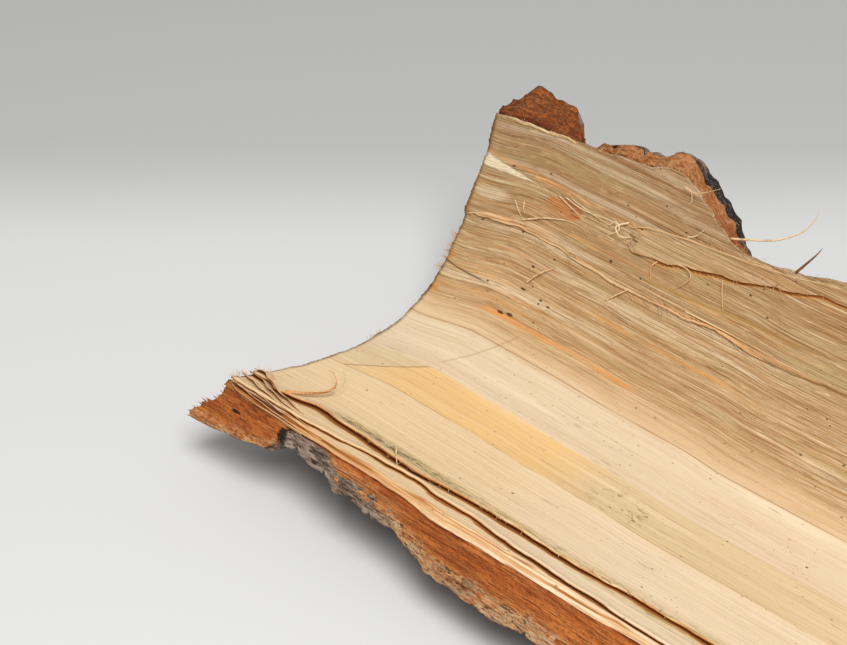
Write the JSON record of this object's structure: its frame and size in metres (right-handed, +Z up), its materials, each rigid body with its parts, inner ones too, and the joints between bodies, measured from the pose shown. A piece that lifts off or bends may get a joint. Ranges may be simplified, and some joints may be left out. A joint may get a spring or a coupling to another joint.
{
  "type": "piece of bark",
  "caption": "Curled slab of thick tree bark with pale fibrous bast inside, red-brown broken edges and furrowed cork outside, lying hollow side up.",
  "frame": {"origin": "on the surface that the slab lies on, under the middle of its bounding box", "axes": "+X along the grain, away from the sawn end; +Y across the grain, towards the high rim; +Z up"},
  "size_m": [0.3653, 0.2058, 0.1166],
  "materials": {
    "bark": "matte",
    "bast": "matte",
    "inner_bark": "matte",
    "cork": "matte"
  },
  "bodies": {
    "root": {"bark": "bark"}
  },
  "joints": []
}
